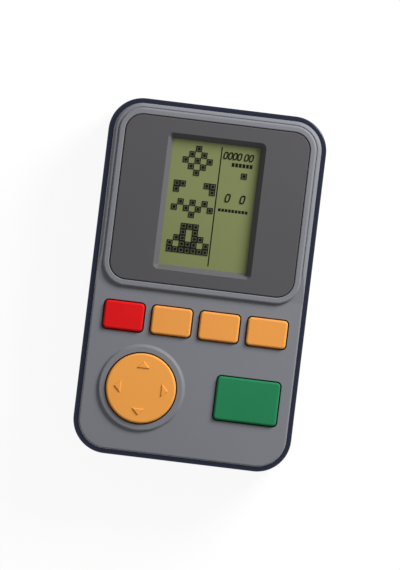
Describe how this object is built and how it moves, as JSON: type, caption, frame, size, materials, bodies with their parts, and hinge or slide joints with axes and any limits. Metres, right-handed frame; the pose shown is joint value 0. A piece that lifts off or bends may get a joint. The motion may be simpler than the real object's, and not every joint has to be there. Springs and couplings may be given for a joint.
{
  "type": "handheld game console",
  "caption": "Pocket game console with a sunk screen window, a row of buttons, a large action button, a tilting direction pad and a sliding battery door.",
  "frame": {"origin": "middle of the back, on the surface the console lies on", "axes": "+X across the case to the right, +Y towards the screen end, +Z out of the face"},
  "size_m": [0.064, 0.1044, 0.0239],
  "materials": {
    "navy_plastic": "fine moulded texture",
    "grey_plastic": "fine moulded texture",
    "surround_plastic": "smooth satin",
    "screen_glass": "liquid-crystal display with a matt polariser",
    "reflector_film": "brushed foil",
    "white_plastic": "natural",
    "zebra_rubber": "layered elastomer",
    "board_laminate": "solder mask",
    "carbon": "carbon-filled",
    "screw_steel": "plated",
    "chip_resin": "poured resin",
    "capacitor_sleeve": "shrunk sleeve",
    "resistor_body": "chip",
    "resonator_case": "dipped",
    "silicone": "matt",
    "red_plastic": "smooth satin",
    "orange_plastic": "smooth satin",
    "green_plastic": "smooth satin",
    "disc_brass": "rolled",
    "disc_ceramic": "silvered",
    "lead_sleeve": "sleeved wire",
    "battery_wrap": "plain wrap",
    "contact_plate": "nickel plated"
  },
  "bodies": {
    "case": {"rear_shell": "navy_plastic", "front_shell": "grey_plastic", "screen_surround": "surround_plastic", "lcd_front_glass": "screen_glass", "lcd_rear_glass": "screen_glass", "lcd_reflector": "reflector_film", "lcd_cradle": "white_plastic", "pad_seat": "white_plastic", "zebra_strip": "zebra_rubber", "circuit_board": "board_laminate", "contact_pads": "carbon", "case_screws": "screw_steel", "board_screws": "screw_steel", "chip_blob": "chip_resin", "capacitors": "capacitor_sleeve", "resistors": "resistor_body", "resonator": "resonator_case", "row_mat": "silicone", "green_mat": "silicone", "pad_mat": "silicone", "piezo_plate": "disc_brass", "piezo_ceramic": "disc_ceramic", "speaker_leads": "lead_sleeve", "battery_leads": "lead_sleeve", "left_battery": "battery_wrap", "right_battery": "battery_wrap", "battery_contacts": "contact_plate", "battery_springs": "contact_plate"},
    "red_key": {"red_button": "red_plastic", "red_pill": "carbon"},
    "left_orange_key": {"left_orange_button": "orange_plastic", "left_pill": "carbon"},
    "middle_orange_key": {"middle_orange_button": "orange_plastic", "middle_pill": "carbon"},
    "right_orange_key": {"right_orange_button": "orange_plastic", "right_pill": "carbon"},
    "green_key": {"green_button": "green_plastic", "green_pill": "carbon"},
    "pad_pivot": {"pad_ball": "screw_steel"},
    "pad": {"direction_pad": "orange_plastic", "pad_pills": "carbon"},
    "door": {"battery_door": "navy_plastic"}
  },
  "joints": [
    {"name": "red_press", "type": "slide", "parent": "case", "child": "red_key", "axis": [0, 0, -1], "range_m": [0, 0.001], "stiffness_N_per_m": 600, "deforming": ["row_mat"]},
    {"name": "left_orange_press", "type": "slide", "parent": "case", "child": "left_orange_key", "axis": [0, 0, -1], "range_m": [0, 0.001], "stiffness_N_per_m": 600, "deforming": ["row_mat"]},
    {"name": "middle_orange_press", "type": "slide", "parent": "case", "child": "middle_orange_key", "axis": [0, 0, -1], "range_m": [0, 0.001], "stiffness_N_per_m": 600, "deforming": ["row_mat"]},
    {"name": "right_orange_press", "type": "slide", "parent": "case", "child": "right_orange_key", "axis": [0, 0, -1], "range_m": [0, 0.001], "stiffness_N_per_m": 600, "deforming": ["row_mat"]},
    {"name": "green_press", "type": "slide", "parent": "case", "child": "green_key", "axis": [0, 0, -1], "range_m": [0, 0.001], "stiffness_N_per_m": 600, "deforming": ["green_mat"]},
    {"name": "pad_side_tilt", "type": "hinge", "parent": "case", "child": "pad_pivot", "pos_m": [-0.0135, -0.032, 0.0206], "axis": [0, 1, 0], "range_deg": [-4, 4], "stiffness_Nm_per_rad": 0.1, "deforming": ["pad_mat"]},
    {"name": "pad_up_down_tilt", "type": "hinge", "parent": "pad_pivot", "child": "pad", "pos_m": [-0.0135, -0.032, 0.0206], "axis": [1, 0, 0], "range_deg": [-4, 4], "stiffness_Nm_per_rad": 0.1, "deforming": ["pad_mat"]},
    {"name": "door_slide", "type": "slide", "parent": "case", "child": "door", "axis": [0, -1, 0], "range_m": [0, 0.062]}
  ]
}
